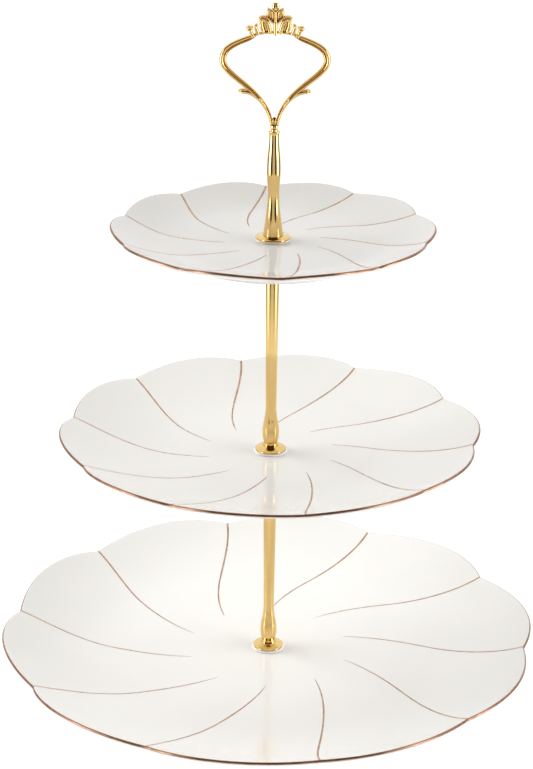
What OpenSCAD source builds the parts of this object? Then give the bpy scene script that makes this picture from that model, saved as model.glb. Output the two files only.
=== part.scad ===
// Three-tier cake stand: scalloped porcelain plates clamped on a gold post with a crowned loop handle.
// Millimetres, +Z up. The origin is on the axis of the post, at the underside of the bottom foot ring.
// The loop of the handle lies in the XZ plane.

/* [Plates] */
// Petals round the rim of each plate
petals = 10; // [8:1:12]
// Bottom plate, axis to petal tip
bottom_tip_r = 133; // [120:0.5:140]
// Middle plate, axis to petal tip
middle_tip_r = 102.3; // [95:0.1:110]
// Top plate, axis to petal tip
top_tip_r = 76.4; // [70:0.1:82]
// Depth of a rim notch, as a share of the tip radius
notch_share = 0.038; // [0.02:0.002:0.06]
// Lean of each petal towards one of its notches, 0 for none
petal_lean = 0.4; // [0:0.05:0.5]
// Height of the bottom plate's rim over its middle
bottom_rise = 12.9; // [8:0.1:18]
// Height of the middle plate's rim over its middle
middle_rise = 12.9; // [8:0.1:18]
// Height of the top plate's rim over its middle
top_rise = 7.5; // [6:0.1:12]
// Flat middle of the bottom and top plates, as a share of the tip radius
wide_well = 0.6; // [0.5:0.01:0.62]
// Flat middle of the middle plate, as a share of the tip radius
narrow_well = 0.48; // [0.4:0.01:0.56]
// Angle of the first rim notch of the bottom plate
bottom_turn = 28.6; // [0:0.1:36]
// Angle of the first rim notch of the middle plate
middle_turn = 27.4; // [0:0.1:36]
// Angle of the first rim notch of the top plate
top_turn = 20.9; // [0:0.1:36]
// Thickness of a plate at its middle
plate_t = 4; // [3.5:0.1:5]
// Thickness of a plate at its rim
rim_t = 2; // [1.6:0.1:2.6]
// Height of the bottom plate's foot ring
bottom_foot_h = 5.2; // [4.8:0.1:7]
// Height of the foot rings of the middle and top plates
upper_foot_h = 3; // [2:0.1:4]

/* [Post] */
// Height from one plate to the next
tier_pitch = 107.2; // [100:0.1:120]
// Diameter of the threads
thread_d = 4; // [3.5:0.5:4]
// Thickness of a gasket's disc
gasket_t = 0.9; // [0.6:0.1:1.2]
// Diameter of a gasket's disc
gasket_d = 16; // [14:0.5:18]
// Thickness of a steel washer
washer_t = 1; // [0.8:0.1:1.2]
// Diameter of the domed flanges under the rods
rod_flange_d = 15; // [14:0.1:15.6]
// Diameter of the flat flange under the stem
stem_flange_d = 16.7; // [15:0.1:18]
// Thickness of the flat flange under the stem
stem_flange_t = 1.5; // [1.2:0.1:2]
// Length of the stem between its flange and the crowned handle
stem_h = 49.8; // [44:0.1:56]

/* [Handle] */
// Height of the crowned handle over the stem
handle_h = 59.5; // [56:0.1:64]
// Width of the loop across its outside
loop_w = 50.6; // [46:0.1:56]
// Depth of the loop's bar, front to back
loop_depth = 3; // [2.4:0.1:3.6]
// Depth of the crown, front to back
crown_depth = 4; // [3.4:0.1:4.8]

/* [Hidden] */

// Fits
eps = 0.1;
running_gap = 0.05;
thread_r = thread_d / 2;
tapped_r = thread_r + running_gap;
washer_hole_r = thread_r + 0.2;
plate_hole_r = 4;
collar_r = plate_hole_r - 0.1;
collar_h = plate_t - 0.5;

// Heights of the stack
bottom_z = bottom_foot_h + plate_t;
middle_z = bottom_z + tier_pitch;
top_z = middle_z + tier_pitch;
flange_h = 2.6;
rod_h = tier_pitch - gasket_t - flange_h - washer_t - gasket_t - plate_t;
stem_z = top_z + gasket_t + stem_flange_t;
crown_z = stem_z + stem_h;

// Threads
stud_grip = 9;
rod_bore_h = stud_grip + 1;
stem_bore_h = 11;
base_screw_reach = 9;
screw_head_r = 3.9;
screw_head_h = 2.2;
slot_w = 1;
slot_depth = 1.1;

// Plates
foot_share = 0.56;
foot_w = 3;
dish_power = 1.8;
curve_steps = 12;

// Handle details
shank_r = 1.5;
shank_h = 7;
neck_r = 1.6;
neck_h = 1.1;
plug_h = 3.4;
plug_r = 1.95;
groove_w = 0.7;
groove_depth = 0.5;
crown_base_z = 43.4;
crown_half_w = 12.2;
knob_r = 1.6;

// Points on a cubic curve with the four control points p
function on_curve(p, t) = pow(1 - t, 3) * p[0] + 3 * pow(1 - t, 2) * t * p[1]
    + 3 * (1 - t) * t * t * p[2] + pow(t, 3) * p[3];
function along(p, t) = 3 * pow(1 - t, 2) * (p[1] - p[0]) + 6 * (1 - t) * t * (p[2] - p[1])
    + 3 * t * t * (p[3] - p[2]);
function curve(p) = [for (i = [0 : curve_steps]) on_curve(p, i / curve_steps)];
function curve_on(p) = [for (i = [1 : curve_steps]) on_curve(p, i / curve_steps)];
function backwards(list) = [for (i = [len(list) - 1 : -1 : 0]) list[i]];

// Height of a plate's upper face over its middle, at radius r
function dish(r, tip_r, rise, well_r) = r <= well_r ? 0 : rise * pow((r - well_r) / (tip_r - well_r), dish_power);
function wall(r, tip_r) = plate_t - (plate_t - rim_t) * r / tip_r;
function rim_radius(i, from_r, tip_r) = from_r + (tip_r - from_r) * i / curve_steps;

// How far the rim stands out from its notches, from 0 to 1, at share s of the way along a petal
function bulge(s) = 4 * s * (1 - s) * (1 + petal_lean * (1 - 2 * s)) / (1 + 0.25 * petal_lean * petal_lean);

// Outline of the rim seen from above
module petal_outline(tip_r) {
    notch_r = tip_r * (1 - notch_share);
    polygon([for (i = [0 : petals - 1], j = [0 : curve_steps - 1])
        let (s = j / curve_steps, angle = (i + s) * 360 / petals, r = notch_r + (tip_r - notch_r) * bulge(s))
        r * [cos(angle), sin(angle)]]);
}

module plate(tip_r, rise, well, foot_h, turn) {
    well_r = well * tip_r;
    foot_r = foot_share * tip_r;
    foot_end = foot_r + foot_w;
    upper = [for (i = [0 : curve_steps]) let (r = rim_radius(i, well_r, tip_r))
        [r, dish(r, tip_r, rise, well_r)]];
    lower = [for (i = [0 : curve_steps]) let (r = rim_radius(i, foot_end, tip_r))
        [r, dish(r, tip_r, rise, well_r) - wall(r, tip_r)]];
    profile = concat(
        [[plate_hole_r, -plate_t], [plate_hole_r, 0]],
        upper,
        backwards(lower),
        [[foot_r + 0.7 * foot_w, -plate_t - foot_h], [foot_r + 0.2 * foot_w, -plate_t - foot_h],
            [foot_r, -plate_t]]);
    color("ghostwhite")
        intersection() {
            rotate_extrude($fn = 180)
                polygon(profile);
            rotate(turn)
                translate([0, 0, -plate_t - foot_h - eps])
                    linear_extrude(rise + plate_t + foot_h + 2 * eps)
                        petal_outline(tip_r);
        }
}

// Soft disc between porcelain and metal
module gasket() {
    color("whitesmoke")
        difference() {
            cylinder(h = gasket_t, d = gasket_d, $fn = 64);
            translate([0, 0, -eps])
                cylinder(h = gasket_t + 2 * eps, r = tapped_r, $fn = 48);
        }
}

// Soft disc with a collar that centres the plate's hole on the thread
module collared_gasket() {
    color("whitesmoke")
        difference() {
            union() {
                cylinder(h = gasket_t, d = gasket_d, $fn = 64);
                cylinder(h = gasket_t + collar_h, r = collar_r, $fn = 48);
            }
            translate([0, 0, -eps])
                cylinder(h = gasket_t + collar_h + 2 * eps, r = tapped_r, $fn = 48);
        }
}

module washer() {
    color("silver")
        difference() {
            cylinder(h = washer_t, d = gasket_d - 2, $fn = 64);
            translate([0, 0, -eps])
                cylinder(h = washer_t + 2 * eps, r = washer_hole_r, $fn = 48);
        }
}

// Domed disc that spreads the load of a rod
module rod_flange() {
    flange_r = rod_flange_d / 2;
    dome = curve([[flange_r, 0.8], [flange_r - 1, 2], [4.6, 1.9], [3.6, flange_h]]);
    color("goldenrod")
        rotate_extrude($fn = 96)
            polygon(concat([[washer_hole_r, 0], [flange_r - 0.3, 0]], dome, [[washer_hole_r, flange_h]]));
}

// Turned rod: neck and bulb at the foot, slim above them, wider again at the head, tapped at both ends
module rod() {
    neck = [3.1, 0.6];
    bulb = [4.1, 6.4];
    slim = [2.6, 20];
    head = [3.4, rod_h];
    color("goldenrod")
        difference() {
            rotate_extrude($fn = 96)
                polygon(concat(
                    [[0, 0], [3.5, 0], neck],
                    curve_on([neck, [3.5, 1.8], [4.1, 3.6], bulb]),
                    curve_on([bulb, [4.1, 11], [2.6, 14], slim]),
                    [head, [0, rod_h]]));
            translate([0, 0, -eps])
                cylinder(h = rod_bore_h + eps, r = tapped_r, $fn = 48);
            translate([0, 0, rod_h - rod_bore_h])
                cylinder(h = rod_bore_h + eps, r = tapped_r, $fn = 48);
        }
}

// Threaded stud that joins the rod below a plate to the rod or stem above it
module stud(upper_flange_h, upper_grip) {
    tip = 0.5;
    span = stud_grip + washer_t + gasket_t + plate_t + gasket_t + upper_flange_h + upper_grip;
    color("silver")
        translate([0, 0, -stud_grip])
            rotate_extrude($fn = 64)
                polygon([[0, 0], [thread_r - tip, 0], [thread_r, tip], [thread_r, span - tip],
                    [thread_r - tip, span], [0, span]]);
}

// Slotted screw that holds the bottom plate, with its head inside the foot ring
module base_screw() {
    tip = 0.5;
    span = screw_head_h + washer_t + gasket_t + plate_t + gasket_t + flange_h + base_screw_reach;
    color("silver")
        translate([0, 0, bottom_z - plate_t - gasket_t - washer_t - screw_head_h])
            difference() {
                rotate_extrude($fn = 64)
                    polygon(concat(
                        [[0, 0]],
                        curve([[2, 0], [3, 0], [screw_head_r, 0.9], [screw_head_r, 1.6]]),
                        [[screw_head_r, screw_head_h], [thread_r, screw_head_h], [thread_r, span - tip],
                            [thread_r - tip, span], [0, span]]));
                translate([-screw_head_r - eps, -slot_w / 2, -eps])
                    cube([2 * screw_head_r + 2 * eps, slot_w, slot_depth + eps]);
            }
}

// Flat disc under the stem
module stem_flange() {
    flange_r = stem_flange_d / 2;
    edge = 0.4;
    color("goldenrod")
        translate([0, 0, top_z + gasket_t])
            rotate_extrude($fn = 96)
                polygon([[washer_hole_r, 0], [flange_r - edge, 0], [flange_r, edge],
                    [flange_r, stem_flange_t - 2 * edge], [flange_r - edge, stem_flange_t - edge],
                    [5.4, stem_flange_t], [washer_hole_r, stem_flange_t]]);
}

// Turned stem: cone at the foot, waist, long bulge and a flared lip, screwed on the top stud
module handle_stem() {
    foot = [4.7, 0];
    waist = [2.65, 0.4 * stem_h];
    bulge = [3.3, 0.64 * stem_h];
    throat = [2.3, 0.95 * stem_h];
    color("goldenrod")
        translate([0, 0, stem_z])
            difference() {
                rotate_extrude($fn = 96)
                    polygon(concat(
                        [[0, 0]],
                        curve([foot, [3.7, 0.16 * stem_h], [2.75, 0.28 * stem_h], waist]),
                        curve_on([waist, [2.65, 0.5 * stem_h], [3.3, 0.54 * stem_h], bulge]),
                        curve_on([bulge, [3.3, 0.76 * stem_h], [2.3, 0.84 * stem_h], throat]),
                        [[2.75, stem_h], [0, stem_h]]));
                translate([0, 0, -eps])
                    cylinder(h = stem_bore_h + eps, r = tapped_r, $fn = 48);
                translate([0, 0, stem_h - shank_h - 0.5])
                    cylinder(h = shank_h + 0.5 + eps, r = shank_r + running_gap, $fn = 48);
            }
}

// A bar of changing width along a cubic curve p, from width w0 to width w1
module bar(p, w0, w1) {
    side = [for (i = [0 : curve_steps]) let (t = i / curve_steps, d = along(p, t))
        [-d[1], d[0]] / norm(d) * (w0 + (w1 - w0) * t) / 2];
    middle = curve(p);
    polygon(concat(
        [for (i = [0 : curve_steps]) middle[i] + side[i]],
        [for (i = [curve_steps : -1 : 0]) middle[i] - side[i]]));
}

// Extrudes a drawing made in X and Z, centred on the XZ plane
module front(depth) {
    rotate([90, 0, 0])
        translate([0, 0, -depth / 2])
            linear_extrude(depth)
                children();
}

// Leaf from its foot to its tip, leaning by angle
module leaf(foot, length, width, angle) {
    half = [[0, 0], [width * 0.9, length * 0.35], [width * 0.6, length], [0, length]];
    translate(foot)
        rotate(-angle)
            polygon(concat(
                [for (v = curve(half)) v],
                [for (v = backwards(curve(half))) [-v[0], v[1]]]));
}

// One side of the open loop, in X and Z from the foot of the handle
module loop_side(side, wide) {
    outer_x = side * (loop_w / 2 - 1.6);
    widest = [outer_x, 33];
    shoulder = [side * 9.6, crown_base_z + 0.2];
    foot = [side * 1.1, 1.6];
    upper = [widest, [outer_x, 38.7], [side * 18.5, 40.8], shoulder];
    lower = [widest, [outer_x, 24.6], [side * 2.2, 19.6], foot];
    if (wide) {
        bar(upper, 3.3, 2.5);
        bar(lower, 3.3, 1.7);
    } else {
        bar(upper, groove_w, groove_w);
        bar(lower, groove_w, groove_w);
    }
}

// Small leaf that curls out of one arm of the loop
module arm_leaf(side) {
    bar([[side * 5.6, 14.2], [side * 9, 18.6], [side * 12.4, 18.6], [side * 15.6, 18.2]], 1.2, 1.9);
    translate([side * 15.9, 18.6])
        circle(r = 1, $fn = 32);
}

module crown() {
    crown_top = handle_h - knob_r;
    front(crown_depth * 0.6)
        bar([[-crown_half_w + 1, crown_base_z], [-4, crown_base_z + 2.4], [4, crown_base_z + 2.4],
            [crown_half_w - 1, crown_base_z]], 2.2, 2.2);
    front(crown_depth * 0.75)
        for (side = [-1, 1]) {
            for (rib = [0 : 2])
                leaf([side * (6.4 + 1.7 * rib), crown_base_z + 0.6 - 0.4 * rib], 5.4 - 0.7 * rib, 1.3,
                    side * (10 + 9 * rib));
            translate([side * (crown_half_w - 0.3), crown_base_z + 3])
                circle(r = 1.3, $fn = 32);
        }
    front(crown_depth * 0.9)
        for (side = [-1, 1]) {
            leaf([side * 3.2, crown_base_z + 0.8], 8.4, 3, side * 18);
            leaf([side * 0.9, crown_base_z + 7], 5.6, 2, side * 24);
        }
    front(crown_depth)
        leaf([0, crown_base_z], crown_top - crown_base_z + 0.4, 1.7, 0);
    translate([0, 0, crown_top])
        sphere(r = knob_r, $fn = 48);
}

// Cast handle: open loop with a grooved bar, two small leaves, a bud, a crown and a plain shank
module crown_handle() {
    color("goldenrod")
        translate([0, 0, crown_z]) {
            difference() {
                front(loop_depth)
                    for (side = [-1, 1])
                        loop_side(side, true);
                for (face = [-1, 1])
                    translate([0, face * loop_depth / 2, 0])
                        front(2 * groove_depth)
                            for (side = [-1, 1])
                                loop_side(side, false);
            }
            front(0.8 * loop_depth)
                for (side = [-1, 1])
                    arm_leaf(side);
            crown();
            rotate_extrude($fn = 64)
                polygon(concat(
                    [[0, -shank_h], [shank_r, -shank_h], [shank_r, 0], [neck_r, 0], [neck_r, neck_h]],
                    curve([[plug_r, neck_h], [plug_r, plug_h], [0.8, plug_h], [1, plug_h + 1.4]]),
                    curve_on([[1, plug_h + 1.4], [1.3, plug_h + 2.2], [1.3, plug_h + 3.2], [0, plug_h + 3.4]])));
        }
}

translate([0, 0, bottom_z]) plate(bottom_tip_r, bottom_rise, wide_well, bottom_foot_h, bottom_turn);  // bottom_plate
translate([0, 0, bottom_z - plate_t - gasket_t]) collared_gasket();  // bottom_lower_gasket
translate([0, 0, bottom_z]) gasket();  // bottom_upper_gasket
translate([0, 0, bottom_z - plate_t - gasket_t - washer_t]) washer();  // base_washer
base_screw();
translate([0, 0, bottom_z + gasket_t]) rod_flange();  // lower_rod_flange
translate([0, 0, bottom_z + gasket_t + flange_h]) rod();  // lower_rod
translate([0, 0, middle_z]) plate(middle_tip_r, middle_rise, narrow_well, upper_foot_h, middle_turn);  // middle_plate
translate([0, 0, middle_z - plate_t - gasket_t]) collared_gasket();  // middle_lower_gasket
translate([0, 0, middle_z]) gasket();  // middle_upper_gasket
translate([0, 0, middle_z - plate_t - gasket_t - washer_t]) washer();  // middle_washer
translate([0, 0, middle_z - plate_t - gasket_t - washer_t]) stud(flange_h, stud_grip);  // middle_stud
translate([0, 0, middle_z + gasket_t]) rod_flange();  // middle_rod_flange
translate([0, 0, middle_z + gasket_t + flange_h]) rod();  // middle_rod
translate([0, 0, top_z]) plate(top_tip_r, top_rise, wide_well, upper_foot_h, top_turn);  // top_plate
translate([0, 0, top_z - plate_t - gasket_t]) collared_gasket();  // top_lower_gasket
translate([0, 0, top_z]) gasket();  // top_upper_gasket
translate([0, 0, top_z - plate_t - gasket_t - washer_t]) washer();  // top_washer
translate([0, 0, top_z - plate_t - gasket_t - washer_t]) stud(stem_flange_t, stud_grip);  // top_stud
stem_flange();
handle_stem();
crown_handle();
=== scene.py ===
import math

import bmesh
import bpy
import numpy as np
from mathutils import Matrix, Vector


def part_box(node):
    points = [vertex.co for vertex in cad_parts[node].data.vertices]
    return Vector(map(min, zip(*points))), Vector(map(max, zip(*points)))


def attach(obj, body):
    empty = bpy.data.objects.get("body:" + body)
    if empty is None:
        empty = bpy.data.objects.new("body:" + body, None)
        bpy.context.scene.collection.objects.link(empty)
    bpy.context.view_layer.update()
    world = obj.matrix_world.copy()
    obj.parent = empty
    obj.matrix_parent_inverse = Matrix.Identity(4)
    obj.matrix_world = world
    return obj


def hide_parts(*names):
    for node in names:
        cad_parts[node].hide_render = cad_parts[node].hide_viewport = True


# Three-tier cake stand. Metres, +Z up, in the frame of the CAD model.
# The CAD gives every place: plates, rods and handle are built on the boxes of the nodes they replace.

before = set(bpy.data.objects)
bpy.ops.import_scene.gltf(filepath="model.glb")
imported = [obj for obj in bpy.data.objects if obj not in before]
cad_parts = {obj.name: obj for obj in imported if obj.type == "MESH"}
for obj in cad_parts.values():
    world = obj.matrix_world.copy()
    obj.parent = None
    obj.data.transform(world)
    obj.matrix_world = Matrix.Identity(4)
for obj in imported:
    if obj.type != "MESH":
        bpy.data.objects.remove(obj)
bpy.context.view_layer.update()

MM = 0.001
SAME_PLACE = 1e-7            # points closer than this are welded, in metres


# ---------------------------------------------------------------- mesh tools

def bezier(p, steps):
    """Points on the cubic curve with the four control points p, ends included."""
    p = np.array(p, float)
    t = np.linspace(0, 1, steps + 1)[:, None]
    return (1 - t) ** 3 * p[0] + 3 * (1 - t) ** 2 * t * p[1] + 3 * (1 - t) * t ** 2 * p[2] + t ** 3 * p[3]


def smoothstep(low, high, x):
    """Runs smoothly from 0 to 1 as x goes from low to high."""
    t = np.clip((x - low) / (high - low), 0, 1)
    return t * t * (3 - 2 * t)


def skin(rings, wrap=False):
    """Closed shell through rings of points.

    wrap joins the last ring to the first. Without it both ends are capped.
    """
    rings = np.asarray(rings, float)
    count, size = rings.shape[:2]
    points = [tuple(v) for v in rings.reshape(-1, 3)]
    faces = []
    for i in range(count if wrap else count - 1):
        a, b = i * size, (i + 1) % count * size
        for j in range(size):
            k = (j + 1) % size
            faces.append((a + j, a + k, b + k, b + j))
    if not wrap:
        for start in (0, (count - 1) * size):
            centre = len(points)
            points.append(tuple(rings[start // size].mean(0)))
            for j in range(size):
                faces.append((centre, start + (j + 1) % size, start + j))
    return points, faces


def joined(shells):
    """Several shells as one list of points and one list of faces."""
    points, faces = [], []
    for some_points, some_faces in shells:
        base = len(points)
        points += some_points
        faces += [tuple(base + i for i in face) for face in some_faces]
    return points, faces


def mirrored(shell):
    """The same shell on the other side of the YZ plane."""
    return [(-x, y, z) for x, y, z in shell[0]], [tuple(reversed(face)) for face in shell[1]]


def raised(shell, z):
    """The same shell, z metres higher."""
    return [(x, y, height + z) for x, y, height in shell[0]], shell[1]


def piece(name, shell, material, body, replaces=(), sharp_angle=40):
    """Makes a smooth-shaded object of a shell and rides it on a CAD body."""
    mesh = bpy.data.meshes.new(name)
    mesh.from_pydata(shell[0], [], shell[1])
    mesh.update()
    work = bmesh.new()
    work.from_mesh(mesh)
    bmesh.ops.remove_doubles(work, verts=work.verts, dist=SAME_PLACE)
    bmesh.ops.recalc_face_normals(work, faces=work.faces)
    work.to_mesh(mesh)
    work.free()
    mesh.shade_smooth()
    mesh.set_sharp_from_angle(angle=math.radians(sharp_angle))
    mesh.materials.append(material)
    obj = bpy.data.objects.new(name, mesh)
    bpy.context.scene.collection.objects.link(obj)
    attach(obj, body)
    if replaces:
        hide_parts(*replaces)
    return obj


def lathe(profile, segments=96):
    """Turned solid of a list of (radius, height) points, from its lower end to its upper end."""
    turn = np.linspace(0, 2 * np.pi, segments, endpoint=False)
    return skin([[(r * np.cos(a), r * np.sin(a), z) for a in turn] for r, z in profile])


def turned_ring(profile, segments=96):
    """Turned solid with a hole, of a closed outline of (radius, height) points."""
    turn = np.linspace(0, 2 * np.pi, segments, endpoint=False)
    return skin([[(r * np.cos(a), r * np.sin(a), z) for a in turn] for r, z in profile], wrap=True)


def rounded_disc(hole_r, outer_r, height, edge):
    """Outline of a flat disc with a hole and a rounded outer edge."""
    quarter = np.linspace(0, np.pi / 2, 7)
    lower = [(outer_r - edge + edge * math.sin(a), edge - edge * math.cos(a)) for a in quarter]
    upper = [(r, height - z) for r, z in reversed(lower)]
    return [(hole_r, 0)] + lower + upper + [(hole_r, height)]


# ---------------------------------------------------------------- materials

NOISE_LOW, NOISE_HIGH = 0.3, 0.7     # where nearly all values of a noise lie


class Nodes:
    """A material's node tree, with short ways to add to it."""

    def __init__(self, name):
        self.material = bpy.data.materials.new(name)
        self.material.use_nodes = True
        self.tree = self.material.node_tree
        self.shader = self.tree.nodes["Principled BSDF"]
        self.place = self.tree.nodes.new("ShaderNodeTexCoord").outputs["Object"]

    def set(self, socket, value):
        self.shader.inputs[socket].default_value = value

    def link(self, output, socket):
        self.tree.links.new(output, self.shader.inputs[socket])

    def noise(self, scale, detail=2.0, distortion=0.0, stretch=None):
        place = self.place
        if stretch:
            mapping = self.tree.nodes.new("ShaderNodeMapping")
            mapping.inputs["Scale"].default_value = stretch
            self.tree.links.new(place, mapping.inputs["Vector"])
            place = mapping.outputs["Vector"]
        node = self.tree.nodes.new("ShaderNodeTexNoise")
        node.inputs["Scale"].default_value = scale
        node.inputs["Detail"].default_value = detail
        node.inputs["Distortion"].default_value = distortion
        self.tree.links.new(place, node.inputs["Vector"])
        return node.outputs["Fac"]

    def ramp(self, value, low, high, start=NOISE_LOW, end=NOISE_HIGH):
        """Runs from colour low to colour high as value goes from start to end."""
        node = self.tree.nodes.new("ShaderNodeValToRGB")
        node.color_ramp.elements[0].position = start
        node.color_ramp.elements[1].position = end
        node.color_ramp.elements[0].color = (*low, 1)
        node.color_ramp.elements[1].color = (*high, 1)
        self.tree.links.new(value, node.inputs["Fac"])
        return node.outputs["Color"]

    def spread(self, value, low, high):
        """Maps the usual range of a noise to low..high."""
        node = self.tree.nodes.new("ShaderNodeMapRange")
        node.inputs["From Min"].default_value = NOISE_LOW
        node.inputs["From Max"].default_value = NOISE_HIGH
        node.inputs["To Min"].default_value = low
        node.inputs["To Max"].default_value = high
        self.tree.links.new(value, node.inputs["Value"])
        return node.outputs["Result"]

    def bump(self, value, height, below=None):
        """Bump of a real height in metres, laid over the bump below."""
        node = self.tree.nodes.new("ShaderNodeBump")
        node.inputs["Strength"].default_value = 1.0
        node.inputs["Distance"].default_value = height
        self.tree.links.new(value, node.inputs["Height"])
        if below is not None:
            self.tree.links.new(below, node.inputs["Normal"])
        return node.outputs["Normal"]


def glaze_material():
    """Glossy white glaze: faint pooling of tone, a soft waviness and a fine orange peel."""
    n = Nodes("white_glaze")
    n.link(n.ramp(n.noise(14, 3), (0.755, 0.745, 0.715), (0.785, 0.775, 0.75)), "Base Color")
    n.link(n.spread(n.noise(45, 2), 0.10, 0.15), "Roughness")
    wave = n.bump(n.noise(38, 1), 0.05 * MM)
    n.link(n.bump(n.noise(700, 2), 0.002 * MM, wave), "Normal")
    n.set("IOR", 1.43)
    n.set("Subsurface Weight", 0.06)
    n.set("Subsurface Scale", 1.5 * MM)
    n.set("Subsurface Radius", (1.0, 0.9, 0.75))
    return n.material


def bisque_material():
    """Unglazed body where the foot ring was wiped clean for firing."""
    n = Nodes("unglazed_foot")
    n.link(n.ramp(n.noise(420, 4), (0.60, 0.57, 0.51), (0.70, 0.67, 0.62)), "Base Color")
    n.link(n.spread(n.noise(900, 3), 0.65, 0.85), "Roughness")
    n.link(n.bump(n.noise(2600, 4), 0.03 * MM), "Normal")
    return n.material


def gold_material(name, fine_scale, fine_height, stretch=None):
    """Polished gold plating: slight changes of tone and polish, over the fine texture of the metal."""
    n = Nodes(name)
    n.link(n.ramp(n.noise(60, 3), (0.82, 0.56, 0.21), (0.88, 0.63, 0.27)), "Base Color")
    n.link(n.spread(n.noise(180, 3, 0.4), 0.04, 0.09), "Roughness")
    soft = n.bump(n.noise(150, 1), 0.02 * MM)
    n.link(n.bump(n.noise(fine_scale, 2, stretch=stretch), fine_height, soft), "Normal")
    n.set("Metallic", 1.0)
    return n.material


def gilding_material(name, thin, full, roughness):
    """Liquid gold brushed on the glaze and fired: uneven in cover, from colour thin to colour full."""
    n = Nodes(name)
    n.link(n.ramp(n.noise(170, 4, 0.6), thin, full, 0.35, 0.65), "Base Color")
    n.link(n.spread(n.noise(400, 3), *roughness), "Roughness")
    n.link(n.bump(n.noise(900, 2), 0.003 * MM), "Normal")
    n.set("Metallic", 1.0)
    return n.material


def steel_material():
    """Bright zinc plating, slightly mottled."""
    n = Nodes("zinc_steel")
    n.link(n.ramp(n.noise(350, 4), (0.50, 0.51, 0.53), (0.66, 0.66, 0.65)), "Base Color")
    n.link(n.spread(n.noise(800, 3), 0.20, 0.38), "Roughness")
    n.link(n.bump(n.noise(1800, 3), 0.01 * MM), "Normal")
    n.set("Metallic", 1.0)
    return n.material


def gasket_material():
    """Soft moulded plastic, milky and slightly see-through."""
    n = Nodes("milky_gasket")
    n.link(n.ramp(n.noise(260, 2), (0.90, 0.90, 0.885), (0.94, 0.94, 0.93)), "Base Color")
    n.link(n.spread(n.noise(600, 2), 0.35, 0.5), "Roughness")
    n.link(n.bump(n.noise(1200, 2), 0.01 * MM), "Normal")
    n.set("Subsurface Weight", 0.3)
    n.set("Subsurface Scale", 1 * MM)
    n.set("Subsurface Radius", (1.0, 0.95, 0.9))
    return n.material


glaze = glaze_material()
bisque = bisque_material()
turned_gold = gold_material("turned_gold", 90, 0.004 * MM, stretch=(1, 1, 30))     # rings left by turning
cast_gold = gold_material("cast_gold", 900, 0.012 * MM)
rim_gold = gilding_material("fired_gold_rim", (0.31, 0.165, 0.105), (0.45, 0.255, 0.165), (0.28, 0.40))
line_gold = gilding_material("fired_gold_line", (0.42, 0.255, 0.155), (0.58, 0.385, 0.26), (0.25, 0.42))
steel = steel_material()
milky = gasket_material()


# ---------------------------------------------------------------- plates

PETALS = 10
NOTCH_SHARE = 0.038          # depth of the notches between petals, as a share of the tip radius
LEAN = 0.4                   # how far a petal's tip leans to one side
WALL_MIDDLE = 4 * MM         # thickness at the middle
WALL_RIM = 2 * MM            # thickness at the rim
HOLE_R = 4 * MM
FOOT_SHARE = 0.56            # radius of the foot ring, as a share of the tip radius
FOOT_W = 3 * MM
FOOT_INNER = (-0.12, 0.32)   # where the foot ring's inner face starts and ends, as shares of its width
FOOT_OUTER = (0.6, 1.15)     # where its outer face starts and ends
FOOT_BARE = 0.25 * MM        # height of the foot ring that has no glaze
DISH_POWER = 1.8             # how late the dish steepens towards the rim
PETAL_RELIEF = 0.5 * MM      # height of a petal's middle over the creases beside it
PETAL_LEVEL = 0.6            # the bulge that lies at the height of the plain dish
PETAL_FADE = (0.32, 0.78)    # where the petals' relief starts and is full, as shares of the tip radius
RIM_FOLLOWS = 0.66           # where mesh rings start to follow the rim, as a share of the tip radius
PETAL_STEPS = 24             # mesh steps along the rim of one petal
LINE_START = 0.955           # where a gold line leaves the rim, as a share of the tip radius
LINE_END = 0.30              # where it ends
LINE_HALF_W = 0.54 * MM
GILD_T = 0.05 * MM           # how far the gold stands proud of the glaze
GILD_SINK = 0.15 * MM        # how deep its mesh goes into the glaze
RIM_GILD = (54, -26)         # where the gold band starts and ends round the edge, in degrees
RIM_GILD_STEPS = 13          # mesh steps across the gold band


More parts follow.
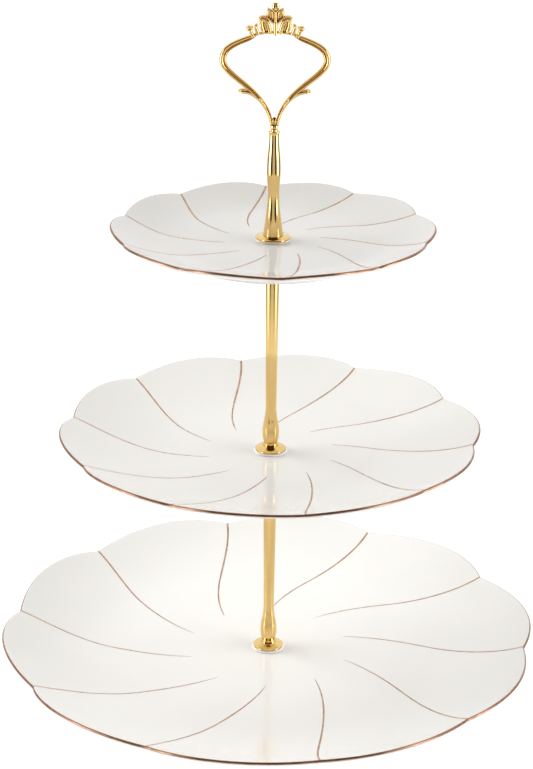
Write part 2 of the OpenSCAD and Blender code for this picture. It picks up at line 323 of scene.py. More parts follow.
class Plate:
    """The shape of one plate, worked out from its CAD node.

    rise is the depth of the dish, well its flat middle as a share of the tip radius, turn the angle of the
    first notch, and sweep how far round a gold line runs, in degrees.
    """

    def __init__(self, node, rise, well, foot_h, turn, sweep, sweep_power):
        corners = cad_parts[node].data.vertices
        self.tip_r = max(math.hypot(corner.co.x, corner.co.y) for corner in corners)
        self.middle_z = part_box(node)[0].z + foot_h + WALL_MIDDLE
        self.rise = rise
        self.well_r = well * self.tip_r
        self.foot_h = foot_h
        self.turn = math.radians(turn)
        self.sweep_angle = math.radians(sweep)
        self.sweep_power = sweep_power

    def bulge(self, share):
        """How far the rim stands out from its notches, from 0 to 1, at a share of the way along a petal."""
        return 4 * share * (1 - share) * (1 + LEAN * (1 - 2 * share)) / (1 + LEAN * LEAN / 4)

    def rim_r(self, share):
        """Radius of the rim at a share of the way along a petal."""
        return self.tip_r * (1 - NOTCH_SHARE * (1 - self.bulge(share)))

    def sweep(self, r):
        """Angle from a notch to its gold line at radius r."""
        x = np.clip((LINE_START - r / self.tip_r) / (LINE_START - LINE_END), 0, 1)
        return self.sweep_angle * x ** self.sweep_power

    def dish(self, r):
        """Height of the dish over its flat middle at radius r."""
        t = np.clip((r - self.well_r) / (self.tip_r - self.well_r), 0, None)
        return self.rise * t ** DISH_POWER

    def slope(self, r):
        """How steeply the dish rises at radius r."""
        t = np.clip((r - self.well_r) / (self.tip_r - self.well_r), 0, None)
        return self.rise * DISH_POWER * t ** (DISH_POWER - 1) / (self.tip_r - self.well_r)

    def wall(self, r):
        """Thickness at radius r."""
        return WALL_MIDDLE - (WALL_MIDDLE - WALL_RIM) * r / self.tip_r

    def upper_z(self, r, angle):
        """Height of the upper face: the dish, and petals that swell between creases along the gold lines."""
        share = np.mod((angle - self.turn - self.sweep(r)) * PETALS / (2 * np.pi), 1.0)
        fade = smoothstep(*PETAL_FADE, r / self.tip_r)
        return self.middle_z + self.dish(r) + PETAL_RELIEF * fade * (self.bulge(share) - PETAL_LEVEL)

    def lower_z(self, r, angle):
        """Height of the underside: flat inside the foot ring, and following the upper face outside it."""
        t = (r - FOOT_SHARE * self.tip_r) / FOOT_W
        foot = smoothstep(*FOOT_INNER, t) * (1 - smoothstep(*FOOT_OUTER, t))
        flat = self.middle_z - WALL_MIDDLE
        outside = self.upper_z(r, angle) - self.wall(r)
        plain = np.where(t < 0.5, flat, outside)
        return plain * (1 - foot) + (flat - self.foot_h) * foot

    def edge(self, share):
        """The rounded edge: centre radius, half thickness and tilt of its section."""
        rim = self.rim_r(share) - GILD_T
        tilt = np.arctan(self.slope(rim))
        half = self.wall(rim) * np.cos(tilt) / 2
        return rim - half, half, tilt

    def angles(self, twist=0.0):
        """Angle of every mesh column round the plate, and its share of the way along a petal."""
        columns = np.arange(PETALS * PETAL_STEPS)
        share = columns % PETAL_STEPS / PETAL_STEPS
        return self.turn + columns * 2 * np.pi / (PETALS * PETAL_STEPS) + twist, share

    def upper_ring(self, u):
        """Ring of points on the upper face. At u 1 it is where the rounded edge starts."""
        _, share = self.angles()
        centre, half, tilt = self.edge(share)
        edge_start = centre - half * np.sin(tilt)
        r = self.tip_r * u + (edge_start - self.tip_r) * smoothstep(RIM_FOLLOWS, 1, u)
        angle, _ = self.angles(self.sweep(r[0]))
        return np.stack([r * np.cos(angle), r * np.sin(angle), self.upper_z(r, angle)], axis=1)

    def edge_ring(self, around, grow=0.0):
        """Ring round the rounded edge. around runs from a quarter turn on top to minus one below."""
        angle, share = self.angles()
        centre, half, tilt = self.edge(share)
        start_r = centre - half * np.sin(tilt)
        centre_z = self.upper_z(start_r, angle) - half * np.cos(tilt)
        out = centre + (half + grow) * np.cos(around + tilt)
        z = centre_z + (half + grow) * np.sin(around + tilt)
        return np.stack([out * np.cos(angle), out * np.sin(angle), z], axis=1)

    def lower_ring(self, u):
        """Ring of points on the underside. At u 1 it is where the rounded edge ends."""
        _, share = self.angles()
        centre, half, tilt = self.edge(share)
        edge_end = centre + half * np.sin(tilt)
        r = self.tip_r * u + (edge_end - self.tip_r) * smoothstep(RIM_FOLLOWS, 1, u)
        angle, _ = self.angles(self.sweep(r[0]))
        above = self.upper_ring(u)
        above_r = np.hypot(*above[:, :2].T)
        follow = smoothstep(0.7, 1, u)
        match = above[:, 2] - self.upper_z(above_r, angle)
        z = self.lower_z(r, angle) + follow * match
        return np.stack([r * np.cos(angle), r * np.sin(angle), z], axis=1)

    def porcelain(self):
        """The whole plate as one closed shell, from the hole over the rim to the foot ring and back."""
        hole = HOLE_R / self.tip_r
        foot = FOOT_SHARE + np.linspace(-0.2, 1.25, 30) * FOOT_W / self.tip_r
        well, petals = np.linspace(hole, 0.62, 16), np.linspace(0.64, 0.99, 26)[:-1]
        outward = np.concatenate([well, petals, [0.985, 1.0]])
        inward = np.concatenate([[1.0, 0.985], np.linspace(0.97, foot[-1] + 0.01, 18), foot[::-1],
                                 np.linspace(foot[0] - 0.01, hole, 9)])
        around = np.radians(np.linspace(90, -90, 13))[1:-1]
        rings = [self.upper_ring(u) for u in outward]
        rings += [self.edge_ring(a) for a in around]
        rings += [self.lower_ring(u) for u in inward]
        return skin(rings, wrap=True)

    def rim_band(self):
        """Gold brushed round the edge, thinning out to nothing at both sides of the band."""
        around = np.radians(np.linspace(*RIM_GILD, RIM_GILD_STEPS))
        cover = [0, 0.6] + (RIM_GILD_STEPS - 4) * [1] + [0.6, 0]
        proud = [self.edge_ring(a, GILD_T * share) for a, share in zip(around, cover)]
        sunk = [self.edge_ring(a, -GILD_SINK) for a in reversed(around)]
        return skin(proud + sunk, wrap=True)

    def gold_line(self, index):
        """One S-shaped line from its notch inwards, along the crease between two petals."""
        centre_r, half_t, tilt = (float(v[0]) for v in self.edge(np.array([0.0])))
        round_r = centre_r - half_t * math.sin(tilt)
        start = centre_r + half_t * math.cos(math.radians(RIM_GILD[0]) + tilt)
        over_edge = np.linspace(start, round_r, 8)[:-1]
        r = np.concatenate([over_edge, np.linspace(round_r, LINE_END * self.tip_r, 70)])
        angle = self.turn + index * 2 * np.pi / PETALS + self.sweep(r)
        centre = np.stack([r * np.cos(angle), r * np.sin(angle)], axis=1)
        along = np.gradient(centre, axis=0)
        along /= np.linalg.norm(along, axis=1)[:, None]
        across = np.stack([-along[:, 1], along[:, 0]], axis=1)
        t = np.linspace(0, 1, len(r))
        half = LINE_HALF_W * (1 - 0.3 * t) * np.sqrt(np.clip(1 - (t / 1.002) ** 9, 0, 1))
        rings = []
        for side, lift in ((-1, 0), (-0.6, 1), (0, 1.2), (0.6, 1), (1, 0), (1, -3), (-1, -3)):
            at = centre + across * (side * half)[:, None]
            at_r = np.hypot(at[:, 0], at[:, 1])
            z = self.upper_z(np.minimum(at_r, round_r), np.arctan2(at[:, 1], at[:, 0]))
            over = np.clip(at_r - centre_r, round_r - centre_r, half_t)
            z += np.sqrt(half_t ** 2 - over ** 2) - math.sqrt(half_t ** 2 - (round_r - centre_r) ** 2)
            rings.append(np.stack([at[:, 0], at[:, 1], z + lift * GILD_T], axis=1))
        return skin(np.swapaxes(np.array(rings), 0, 1))


PLATES = {
    "bottom": Plate("bottom_plate", rise=12.9 * MM, well=0.6, foot_h=5.2 * MM, turn=28.6, sweep=24.2,
                    sweep_power=1.7),
    "middle": Plate("middle_plate", rise=12.9 * MM, well=0.48, foot_h=3 * MM, turn=27.4, sweep=24.2,
                    sweep_power=1.7),
    "top": Plate("top_plate", rise=7.5 * MM, well=0.6, foot_h=3 * MM, turn=20.9, sweep=26.0,
                 sweep_power=1.4),
}

for tier, plate in PLATES.items():
    body = tier + "_tier"
    china = piece(tier + "_plate_china", plate.porcelain(), glaze, body, [tier + "_plate"])
    china.data.materials.append(bisque)
    foot_top = plate.middle_z - WALL_MIDDLE - plate.foot_h + FOOT_BARE
    for face in china.data.polygons:
        if face.center.z < foot_top:
            face.material_index = 1
    piece(tier + "_plate_gold_rim", plate.rim_band(), rim_gold, body)
    lines = joined([plate.gold_line(i) for i in range(PETALS)])
    piece(tier + "_plate_gold_lines", lines, line_gold, body)


# ---------------------------------------------------------------- post, with its profiles in mm

FLANGE_HOLE_R = 2.2
GASKET_HOLE_R = 2.1 * MM
GASKET_EDGE_R = 0.4 * MM


def at_foot(shell, node):
    """Puts a shell made from height 0 at the foot of a CAD node."""
    return raised(shell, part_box(node)[0].z)


def rod_profile(height):
    """Collar, neck and bulb at the foot, slim above them, wider again at the head."""
    bulb = bezier([(3.35, 1.1), (3.5, 2.2), (4.1, 3.8), (4.1, 6.4)], 20)
    slim = bezier([(4.1, 6.4), (4.1, 11), (2.6, 14), (2.6, 20)], 24)[1:]
    head = np.linspace((2.6, 20), (3.4, height / MM - 0.4), 24)[1:]
    foot = [(0, 0), (3.5, 0), (3.8, 0.08), (3.95, 0.35), (3.85, 0.65), (3.6, 0.9), (3.38, 1.02)]
    end = [(3.3, height / MM - 0.1), (3.1, height / MM), (0, height / MM)]
    return [(r * MM, z * MM) for r, z in [*foot, *bulb, *slim, *head, *end]]


def flange_profile(radius, height):
    """Domed disc with a rounded edge."""
    r = radius / MM
    dome = bezier([(r, 0.75), (r - 0.5, 1.5), (4.9, 1.9), (3.7, height / MM)], 24)
    foot = [(FLANGE_HOLE_R, 0), (r - 0.35, 0), (r - 0.12, 0.14), (r, 0.4)]
    return [(a * MM, z * MM) for a, z in [*foot, *dome, (FLANGE_HOLE_R, height / MM)]]


def half_width(node):
    """Radius of a round CAD node, in metres."""
    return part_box(node)[1].x


def height_of(node):
    """Height of a CAD node, in metres."""
    low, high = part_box(node)
    return high.z - low.z


for rod in ("lower_rod", "middle_rod"):
    rod_shell = lathe(rod_profile(height_of(rod)))
    piece(rod + "_turned", at_foot(rod_shell, rod), turned_gold, "column", [rod])
    flange = rod + "_flange"
    outline = flange_profile(half_width(flange), height_of(flange))
    piece(flange + "_domed", at_foot(turned_ring(outline), flange), turned_gold, "column", [flange])


def stem_flange_profile(radius, height):
    """Flat disc with a rounded edge and a shallow step up to the stem."""
    r, h = radius / MM, height / MM
    edge = [(r - 0.5, 0), (r - 0.15, 0.15), (r, 0.5), (r - 0.1, 0.85), (r - 0.4, 1.08), (r - 1, 1.2)]
    step = [(5.9, 1.3), (5.5, h - 0.05), (5.2, h)]
    return [(a * MM, z * MM) for a, z in [(FLANGE_HOLE_R, 0), *edge, *step, (FLANGE_HOLE_R, h)]]


def stem_profile(height):
    """Cone at the foot, waist, long bulge and a flared lip."""
    h = height / MM
    foot = bezier([(4.7, 0.3), (3.7, 0.16 * h), (2.75, 0.28 * h), (2.65, 0.4 * h)], 28)
    bulge = bezier([(2.65, 0.4 * h), (2.65, 0.5 * h), (3.3, 0.54 * h), (3.3, 0.64 * h)], 20)[1:]
    throat = bezier([(3.3, 0.64 * h), (3.3, 0.76 * h), (2.3, 0.84 * h), (2.3, 0.95 * h)], 24)[1:]
    lip = bezier([(2.3, 0.95 * h), (2.3, 0.975 * h), (2.5, 0.99 * h), (2.75, h - 0.25)], 8)[1:]
    start = [(0, 0), (4.5, 0), (4.68, 0.12)]
    end = [(2.72, h - 0.06), (2.6, h), (0, h)]
    return [(r * MM, z * MM) for r, z in [*start, *foot, *bulge, *throat, *lip, *end]]


stem_flange_shell = turned_ring(stem_flange_profile(half_width("stem_flange"), height_of("stem_flange")))
piece("stem_flange_turned", at_foot(stem_flange_shell, "stem_flange"), turned_gold, "column",
      ["stem_flange"])
stem_shell = lathe(stem_profile(height_of("handle_stem")))
piece("handle_stem_turned", at_foot(stem_shell, "handle_stem"), turned_gold, "stem", ["handle_stem"])

for tier in PLATES:
    node = tier + "_upper_gasket"
    disc = turned_ring(rounded_disc(GASKET_HOLE_R, half_width(node), height_of(node), GASKET_EDGE_R))
    piece(tier + "_gasket_disc", at_foot(disc, node), milky, tier + "_tier", [node])


THREAD_PITCH = 0.7 * MM
THREAD_DEPTH = 0.43 * MM
THREAD_RUNOUT = 0.8 * MM     # length over which the thread fades at an end
END_TAPER = 0.2 * MM         # how much thinner the core is at an end


def threaded_stud(length, radius, pitch, depth, steps_round=40, steps_pitch=8):
    """Stud with a real helical thread, with flat crests and roots, that runs out at both ends."""
    rings = []
    count = int(length / pitch * steps_pitch)
    turn = np.linspace(0, 2 * np.pi, steps_round, endpoint=False)
    for i in range(count + 1):
        z = length * i / count
        phase = np.mod(z / pitch - turn / (2 * np.pi), 1)
        crest = np.clip(1.25 - 2.5 * np.abs(phase - 0.5), 0, 1)
        ease = min(1.0, (min(z, length - z) + 0.1 * MM) / THREAD_RUNOUT)
        r = (radius - depth) + depth * crest * ease - END_TAPER * (1 - ease)
        rings.append(np.stack([r * np.cos(turn), r * np.sin(turn), np.full(steps_round, z)], axis=1))
    return skin(rings)


for stud in ("middle_stud", "top_stud"):
    shell = threaded_stud(height_of(stud), half_width(stud), THREAD_PITCH, THREAD_DEPTH)
    piece(stud + "_thread", at_foot(shell, stud), steel, "column", [stud])

CAD_FINISHES = {
    "bottom_lower_gasket": milky,
    "middle_lower_gasket": milky,
    "top_lower_gasket": milky,
    "base_washer": steel,
    "middle_washer": steel,
    "top_washer": steel,
    "base_screw": steel,
}

for node, finish in CAD_FINISHES.items():
    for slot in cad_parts[node].material_slots:
        slot.material = finish


# ---------------------------------------------------------------- crowned handle, in mm from the stem's top

SECTION_STEPS = 20           # mesh steps across a bar
END_SHARE = 0.07             # share of a bar's length over which an end is rounded


def outline_of(height):
    """Closed section from a function that gives the half depth, 0 to 1, at each place across, -1 to 1."""
    across = -np.cos(np.linspace(0, np.pi, SECTION_STEPS + 1))
    front = [(a, -height(a)) for a in across]
    back = [(a, height(a)) for a in across[::-1]]
    return np.array(front + back)


def dome(x, centre, half):
    """Half circle of height 1 round the centre."""
    return math.sqrt(max(0.0, 1 - ((x - centre) / half) ** 2))


def double_ridge(a):
    """A broad ridge outside, a groove and a narrow ridge inside."""
    return max(dome(a, 0.36, 0.64), 0.85 * dome(a, -0.68, 0.32), 0.2 * dome(a, 0, 1))


def plain_ridge(a):
    """Round section."""
    return dome(a, 0, 1)


def flat_ridge(a):
    """Ridge with a broad top and steep sides."""
    return (1 - abs(a) ** 2.8) ** 0.45


def sweep_bar(path, half_w, half_d, section, round_start=False):
    """Bar with a rounded end along a path in the XZ plane. Path and sizes are in mm, the shell in metres."""
    path = np.asarray(path, float)
    along = np.gradient(path, axis=0)
    along /= np.linalg.norm(along, axis=1)[:, None]
    across = np.stack([along[:, 1], -along[:, 0]], axis=1)
    t = np.linspace(0, 1, len(path))
    shape = outline_of(section)
    ease = np.sqrt(1 - np.clip((t - 1 + END_SHARE) / END_SHARE, 0, 0.98) ** 2)
    if round_start:
        ease = ease * np.sqrt(1 - np.clip((END_SHARE - t) / END_SHARE, 0, 0.98) ** 2)
    half_w = np.interp(t, np.linspace(0, 1, len(half_w)), half_w) * ease
    half_d = np.interp(t, np.linspace(0, 1, len(half_d)), half_d) * ease
    rings = []
    for at, side, w, d in zip(path, across, half_w, half_d):
        xz = at + np.outer(shape[:, 0] * w, side)
        rings.append(np.stack([xz[:, 0], shape[:, 1] * d, xz[:, 1]], axis=1) * MM)
    return skin(rings)


def ball(x, z, radius, depth, steps=16):
    """Bead with a half depth of its own from front to back."""
    profile = [(math.sin(a), -math.cos(a)) for a in np.linspace(0.02, np.pi - 0.02, steps)]
    points, faces = lathe([(r * radius * MM, h * radius * MM) for r, h in profile], 24)
    return [(px + x * MM, py * depth / radius, pz + z * MM) for px, py, pz in points], faces


def volute(x, z, radius, turns, half_w, half_d, start):
    """Flat spiral that ends in a bead."""
    t = np.linspace(0, 1, 40)
    angle = math.radians(start) + 2 * np.pi * turns * t
    r = radius * (1 - 0.72 * t)
    path = np.stack([x + r * np.cos(angle), z + r * np.sin(angle)], axis=1)
    return sweep_bar(path, [half_w, half_w * 0.8], [half_d, half_d * 1.15], plain_ridge, round_start=True)


def smooth_path(points, steps=10):
    """Smooth curve through the given points."""
    p = np.array([2 * np.array(points[0]) - points[1], *points, 2 * np.array(points[-1]) - points[-2]], float)
    t = np.linspace(0, 1, steps, endpoint=False)[:, None]
    out = []
    for a, b, c, d in zip(p, p[1:], p[2:], p[3:]):
        out.append(b + 0.5 * t * (c - a + t * (2 * a - 5 * b + 4 * c - d + t * (3 * (b - c) + d - a))))
    return np.concatenate(out + [p[-2][None, :]])


def set_back(shell, depth):
    """The same shell, depth mm further back."""
    return [(x, y + depth * MM, z) for x, y, z in shell[0]], shell[1]


def band(points, half_w, half_d, section=flat_ridge):
    """Ridge with rounded ends along a smooth curve through the points."""
    return sweep_bar(smooth_path(points), half_w, half_d, section, round_start=True)


def handle_half():
    """What lies right of the middle of the handle."""
    widest = (23.7, 33)
    lower = bezier([(1.1, 1.6), (2.2, 19.6), (23.7, 24.6), widest], 60)
    upper = bezier([widest, (23.7, 38.7), (18.5, 40.6), (8.6, 44.3)], 40)[1:]
    loop = np.concatenate([lower, upper])
    loop_half_w = [0.85, 1.05, 1.35, 1.6, 1.62, 1.45, 1.25]
    loop_half_d = [1.3, 1.35, 1.4, 1.45, 1.45, 1.4, 1.35]
    shells = [sweep_bar(loop, loop_half_w, loop_half_d, double_ridge)]
    # leaf that splits off the arm and curls at its tip
    shells.append(band([(2.3, 6.5), (4.4, 11.3), (7.2, 15.1), (10.4, 17.4), (13.4, 18.3), (15.4, 18.2)],
                       [0.5, 0.9, 1.08, 1.0, 0.85], [0.8, 1.1, 1.3, 1.3, 1.2], plain_ridge))
    shells.append(band([(13.2, 18.8), (14.6, 19.4), (15.7, 19.3)], [0.45, 0.5, 0.45], [1.2, 1.35, 1.2]))
    shells.append(ball(15.8, 18.8, 0.9, 1.4))
    # lower tier of the crown, from the middle outwards: arched leaf with a slit, finger, volute
    arch = [(2.35, 44.8), (2.6, 46.9), (3.15, 48.9), (4.05, 50.7), (5.1, 51.7), (6.1, 51.75), (6.55, 50.9),
            (6.4, 49.4), (6.0, 47.6), (5.0, 44.9)]
    shells.append(band(arch, [0.95, 1.03, 1.05, 1.0, 0.95, 0.95, 0.98, 0.98, 0.92],
                       [1.5, 1.65, 1.8, 1.75, 1.65, 1.75, 1.8, 1.6]))
    shells.append(set_back(band([(3.7, 44.9), (4.4, 47.5), (5.3, 50.4)], [0.7, 0.9, 0.7], [0.5, 0.5]), 0.9))
    shells.append(band([(7.55, 44.3), (8.35, 46.4), (8.9, 48.1), (8.6, 49.0), (7.95, 49.1)],
                       [0.95, 0.95, 0.85, 0.65], [1.4, 1.6, 1.6, 1.5]))
    shells.append(band([(9.7, 43.5), (10.6, 44.8), (11.2, 46.3), (11.3, 47.4)],
                       [1.0, 0.95, 0.8], [1.4, 1.5, 1.5]))
    shells.append(volute(11.85, 47.75, 1.2, 1.2, 0.7, 1.5, 130))
    shells.append(ball(11.9, 47.75, 0.85, 1.65))
    # upper tier: arched leaf with a web behind it, its curl, and the branch over the lower leaf
    arch = [(1.3, 51.8), (1.4, 53.6), (1.85, 55.2), (2.65, 56.1), (3.25, 55.7), (3.4, 54.4), (4.0, 52.8)]
    shells.append(band(arch, [0.6, 0.62, 0.62, 0.6, 0.65, 0.75, 0.75], [1.4, 1.6, 1.5, 1.5]))
    shells.append(set_back(band([(2.2, 51.8), (2.3, 53.5), (2.6, 55.4)], [1.3, 1.1, 0.6], [0.5, 0.5]), 0.9))
    shells.append(ball(3.35, 56.6, 0.5, 1.4))
    shells.append(band([(0.5, 49.9), (1.5, 50.7), (2.8, 51.9), (4.2, 52.8), (5.6, 53.1), (7.2, 52.7)],
                       [0.9, 0.75, 0.55, 0.48], [2.0, 1.95, 1.9, 1.8]))
    shells.append(ball(7.2, 52.5, 0.6, 1.6))
    shells.append(ball(0.95, 55.6, 0.6, 1.5))
    return joined(shells)


def handle_middle():
    """What lies on the middle of the handle: ribs and cup of the crown, and the shank with its bud."""
    arch = [(-10, 44.3), (-7, 45.1), (-3.5, 45.6), (0, 45.75), (3.5, 45.6), (7, 45.1), (10, 44.3)]
    shells = [set_back(band(arch, [0.65, 0.65], [1.0, 1.0]), 0.3)]
    shells.append(band([(0, 44.3), (0, 46), (0, 48.5), (0, 50.9)], [1.0, 1.0, 1.0], [1.9, 2.0, 1.95]))
    shells.append(band([(0, 50.4), (0, 52), (0, 53.8), (0, 55.8)], [0.8, 0.7, 0.65], [1.9, 1.8, 1.7]))
    shells.append(set_back(band([(0, 50.6), (0, 53), (0, 55.6)], [1.8, 1.9, 1.5], [0.45, 0.45]), 1.0))
    shells.append(ball(0, 50.9, 0.9, 1.98))
    cup = [(0, 55.2), (0.9, 55.3), (1.35, 55.8), (1.65, 56.7), (1.78, 57.5), (1.7, 58.0), (1.4, 58.15),
           (1.45, 58.5), (1.2, 58.95), (0.6, 59.25), (0, 59.35)]
    points, faces = lathe([(r * MM, z * MM) for r, z in cup], 40)
    shells.append(([(x, 0.7 * y, z) for x, y, z in points], faces))
    bud = bezier([(0.95, 2.6), (1.5, 4.0), (1.15, 5.8), (0.35, 6.7)], 12)
    shank = [(0, -7), (1.35, -7), (1.5, -6.85), (1.5, 0), (1.6, 0.05), (1.6, 0.5), (1.5, 0.8), (1.62, 1.1),
             (1.9, 1.3), (1.98, 1.8), (1.95, 2.6), (1.7, 3.2), (1.2, 3.5), *bud, (0, 6.8)]
    shells.append(lathe([(r * MM, z * MM) for r, z in shank], 64))
    return joined(shells)


half = handle_half()
stem_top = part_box("handle_stem")[1].z
handle_shell = raised(joined([half, mirrored(half), handle_middle()]), stem_top)
piece("crown_handle_cast", handle_shell, cast_gold, "crown", ["crown_handle"], sharp_angle=50)


# ---------------------------------------------------------------- studio

FLOOR_HALF = 14.0
FLOOR_GLOW = 0.82
TENT_R = 6.0
TENT_COLUMNS = 64
TENT_RINGS = 24
TENT_TOP = 88                # height of the last ring under the tent's peak, in degrees
TENT_FRONT = 0.07            # strength of the tent's upper part in front
TENT_BACK = 1.0              # and behind
TENT_DEPTHS = (-0.3 * TENT_R, 0.18 * TENT_R)     # between which its strength goes from front to back
TENT_RISES = (0.12 * TENT_R, 0.34 * TENT_R)      # heights between which the low sectors give way to it
CARDS_R = 0.42               # inner radius of the ring of cards
CARDS_LIFT = 0.5 * MM        # how high they lie over the floor
CARDS_NEAR = 1.03            # their strength at the inner edge, like the floor's

# Strengths below which the light of the tent and the cards is brown, and above which it is white.
BROWN_BELOW = 0.04
WHITE_ABOVE = 0.16

# Passages between the sectors of light, in degrees round from the front.
AHEAD_ENDS = (16, 24)
SIDE_STARTS = (50, 56)
BACK_STARTS = (122, 140)


def soft_passage(tree, value, start, end, low, high):
    """Runs smoothly from low to high as value goes from start to end."""
    node = tree.nodes.new("ShaderNodeMapRange")
    node.interpolation_type = "SMOOTHSTEP"
    for name, number in (("From Min", start), ("From Max", end), ("To Min", low), ("To Max", high)):
        node.inputs[name].default_value = number
    tree.links.new(value, node.inputs["Value"])
    return node.outputs["Result"]


def maths(tree, operation, a, b=None):
    """One operation on node outputs or plain numbers."""
    node = tree.nodes.new("ShaderNodeMath")
    node.operation = operation
    for socket, value in zip(node.inputs, (a, b)):
        if isinstance(value, (int, float)):
            socket.default_value = value
        elif value is not None:
            tree.links.new(value, socket)
    return node.outputs["Value"]


def round_from_front(tree, x, y):
    """Angle round from the front, 0 to 180 degrees on both sides."""
    angle = maths(tree, "ARCTAN2", maths(tree, "ABSOLUTE", x), maths(tree, "MULTIPLY", y, -1.0))
    return maths(tree, "DEGREES", angle)


def warm_where_dark(tree, value):
    """Colour of a light of a given strength: neutral where it is bright, brown where it is nearly out."""
    node = tree.nodes.new("ShaderNodeValToRGB")
    node.color_ramp.elements[0].position = BROWN_BELOW
    node.color_ramp.elements[1].position = WHITE_ABOVE
    node.color_ramp.elements[0].color = (1.0, 0.5, 0.22, 1)
    node.color_ramp.elements[1].color = (1, 1, 1, 1)
    tree.links.new(value, node.inputs["Fac"])
    return node.outputs["Color"]


def stage_piece(name, points, faces, material):
    """Makes something of the studio, which isn't part of the object."""
    mesh = bpy.data.meshes.new(name)
    mesh.from_pydata(points, [], faces)
    mesh.materials.append(material)
    obj = bpy.data.objects.new(name, mesh)
    bpy.context.scene.collection.objects.link(obj)
    return obj


def stage_floor():
    """Large plain pale table top that glows evenly."""
    n = Nodes("pale_floor")
    n.link(n.ramp(n.noise(0.8, 2), (0.30, 0.30, 0.30), (0.32, 0.32, 0.32)), "Base Color")
    n.set("Roughness", 0.9)
    n.set("Specular IOR Level", 0.1)
    n.set("Emission Color", (1, 1, 1, 1))
    n.set("Emission Strength", FLOOR_GLOW)
    corners = [(x * FLOOR_HALF, y * FLOOR_HALF, 0) for x, y in ((-1, -1), (1, -1), (1, 1), (-1, 1))]
    stage_piece("floor", corners, [(0, 1, 2, 3)], n.material)


def glow(name, strength_of):
    """Black material that glows with the strength that strength_of makes of its place."""
    n = Nodes(name)
    n.set("Base Color", (0, 0, 0, 1))
    n.set("Specular IOR Level", 0.0)
    split = n.tree.nodes.new("ShaderNodeSeparateXYZ")
    n.tree.links.new(n.place, split.inputs["Vector"])
    strength = strength_of(n.tree, *(split.outputs[axis] for axis in "XYZ"))
    n.link(warm_where_dark(n.tree, strength), "Emission Color")
    n.link(strength, "Emission Strength")
    n.material.cycles.emission_sampling = "NONE"
    return n.material


def sectors(tree, angle, ahead, side, side_end, behind, dark):
    """Strength by the angle from the front: some light ahead, dark, bright at the side, dark, the back."""
    front = soft_passage(tree, angle, *AHEAD_ENDS, ahead, dark)
    rising = soft_passage(tree, angle, *SIDE_STARTS, 0.0, side)
    flank = maths(tree, "MULTIPLY", rising, soft_passage(tree, angle, *side_end, 1.0, dark))
    back = soft_passage(tree, angle, *BACK_STARTS, 0.0, behind)
    return maths(tree, "ADD", maths(tree, "ADD", front, flank), back)


def tent_strength(tree, x, y, z):
    """White behind and above, dark in front, and bright low down at the sides to draw lines on the metal."""
    angle = round_from_front(tree, x, y)
    low = sectors(tree, angle, ahead=0.8, side=3.2, side_end=(80, 92), behind=0.85, dark=0.03)
    high = soft_passage(tree, y, *TENT_DEPTHS, TENT_FRONT, TENT_BACK)
    rise = soft_passage(tree, z, *TENT_RISES, 0.0, 1.0)
    upper = maths(tree, "MULTIPLY", high, rise)
    lower = maths(tree, "MULTIPLY", low, maths(tree, "SUBTRACT", 1.0, rise))
    return maths(tree, "ADD", upper, lower)


def cards_strength(tree, x, y, z):
    """As bright as the floor at the inner edge, and further out in sectors like the tent's."""
    angle = round_from_front(tree, x, y)
    far = sectors(tree, angle, ahead=0.66, side=2.6, side_end=(84, 98), behind=1.0, dark=0.05)
    squares = [maths(tree, "MULTIPLY", way, way) for way in (x, y)]
    away = maths(tree, "SQRT", maths(tree, "ADD", *squares))
    out = soft_passage(tree, away, CARDS_R, 1.5 * CARDS_R, 0.0, 1.0)
    near = maths(tree, "MULTIPLY", maths(tree, "SUBTRACT", 1.0, out), CARDS_NEAR)
    return maths(tree, "ADD", near, maths(tree, "MULTIPLY", far, out))


def between_rings(lower, upper):
    """Faces between two rings of points, given the index of the first point of each."""
    faces = []
    for column in range(TENT_COLUMNS):
        following = (column + 1) % TENT_COLUMNS
        faces.append((lower + column, lower + following, upper + following, upper + column))
    return faces


def light_tent():
    """Round tent over the whole scene. It lights the object, and cameras don't see it."""
    points = []
    for height in np.radians(np.linspace(0, TENT_TOP, TENT_RINGS)):
        for turn in np.linspace(0, 2 * np.pi, TENT_COLUMNS, endpoint=False):
            across, up = TENT_R * math.cos(height), TENT_R * math.sin(height)
            points.append((across * math.cos(turn), across * math.sin(turn), up))
    peak = len(points)
    points.append((0, 0, TENT_R))
    last_ring = peak - TENT_COLUMNS
    faces = []
    for ring in range(0, last_ring, TENT_COLUMNS):
        faces += between_rings(ring, ring + TENT_COLUMNS)
    faces += [(last_ring + i, last_ring + (i + 1) % TENT_COLUMNS, peak) for i in range(TENT_COLUMNS)]
    tent = stage_piece("light_tent", points, faces, glow("tent_cloth", tent_strength))
    tent.visible_camera = False


def floor_cards():
    """Cards lying on the floor round the object, which only show in gloss and metal."""
    turns = np.linspace(0, 2 * np.pi, TENT_COLUMNS, endpoint=False)
    points = [(r * math.cos(a), r * math.sin(a), CARDS_LIFT) for r in (CARDS_R, TENT_R) for a in turns]
    faces = between_rings(0, TENT_COLUMNS)
    cards = stage_piece("floor_cards", points, faces, glow("card_face", cards_strength))
    cards.visible_camera = False
    cards.visible_diffuse = False
    cards.visible_transmission = False
    cards.visible_shadow = False


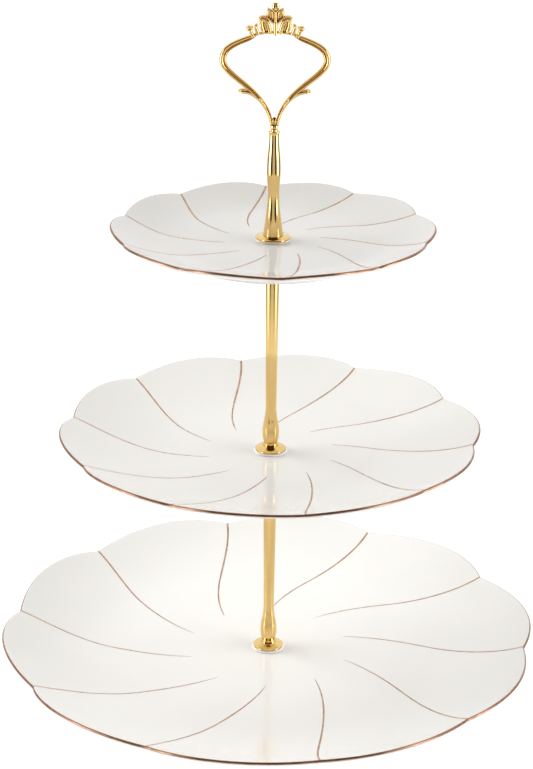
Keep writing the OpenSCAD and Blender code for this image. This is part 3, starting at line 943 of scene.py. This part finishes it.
def area_light(name, place, aim, width, height, radiance, only_in_gloss):
    """Rectangular light of a given radiance. It lights evenly, or is only seen in gloss and metal."""
    data = bpy.data.lights.new(name, "AREA")
    data.shape = "RECTANGLE"
    data.size = width
    data.size_y = height
    data.energy = radiance * math.pi * width * height
    light = bpy.data.objects.new(name, data)
    light.location = place
    light.rotation_euler = (Vector(aim) - Vector(place)).to_track_quat("-Z", "Y").to_euler()
    light.visible_camera = False
    light.visible_glossy = only_in_gloss
    light.visible_diffuse = not only_in_gloss
    bpy.context.scene.collection.objects.link(light)


def plain_world():
    """Even white all round, beyond the tent."""
    world = bpy.data.worlds.new("studio")
    world.use_nodes = True
    background = world.node_tree.nodes["Background"]
    background.inputs["Color"].default_value = (1, 1, 1, 1)
    background.inputs["Strength"].default_value = 1.0
    world.cycles.sampling_method = "NONE"
    bpy.context.scene.world = world


stage_floor()
light_tent()
floor_cards()
plain_world()

# The softboxes light from both sides, and the strips draw the streaks on the gold.
PLATES_AIM = (0, 0, 0.04)
STEM_AIM = (0, 0, 0.30)
area_light("key_left", (-0.90, 0.22, 0.44), PLATES_AIM, 0.9, 0.8, 4.9, only_in_gloss=False)
area_light("fill_right", (0.92, -0.22, 0.42), PLATES_AIM, 0.9, 0.8, 3.4, only_in_gloss=False)
area_light("strip_left", (-0.80, -0.36, 0.36), STEM_AIM, 0.20, 0.72, 5.0, only_in_gloss=True)
area_light("strip_right", (0.80, -0.36, 0.36), STEM_AIM, 0.24, 0.72, 5.0, only_in_gloss=True)


# ---------------------------------------------------------------- camera

FOCAL = 100.0                                # mm, with 36 mm along the picture's longer side
PITCH = 21.21                                # degrees down from the horizon
ROLL = 0.62                                  # degrees
CAMERA_PLACE = (-0.0023, -0.957, 0.5223)

camera_data = bpy.data.cameras.new("camera")
camera_data.sensor_width = 36
camera_data.lens = FOCAL
camera_data.clip_start = 0.05
camera_data.clip_end = 60
camera = bpy.data.objects.new("camera", camera_data)
looking = Matrix.Rotation(math.radians(90 - PITCH), 4, "X") @ Matrix.Rotation(math.radians(ROLL), 4, "Z")
camera.matrix_world = Matrix.Translation(CAMERA_PLACE) @ looking
bpy.context.scene.collection.objects.link(camera)
bpy.context.scene.camera = camera
bpy.context.scene.view_settings.view_transform = "Standard"
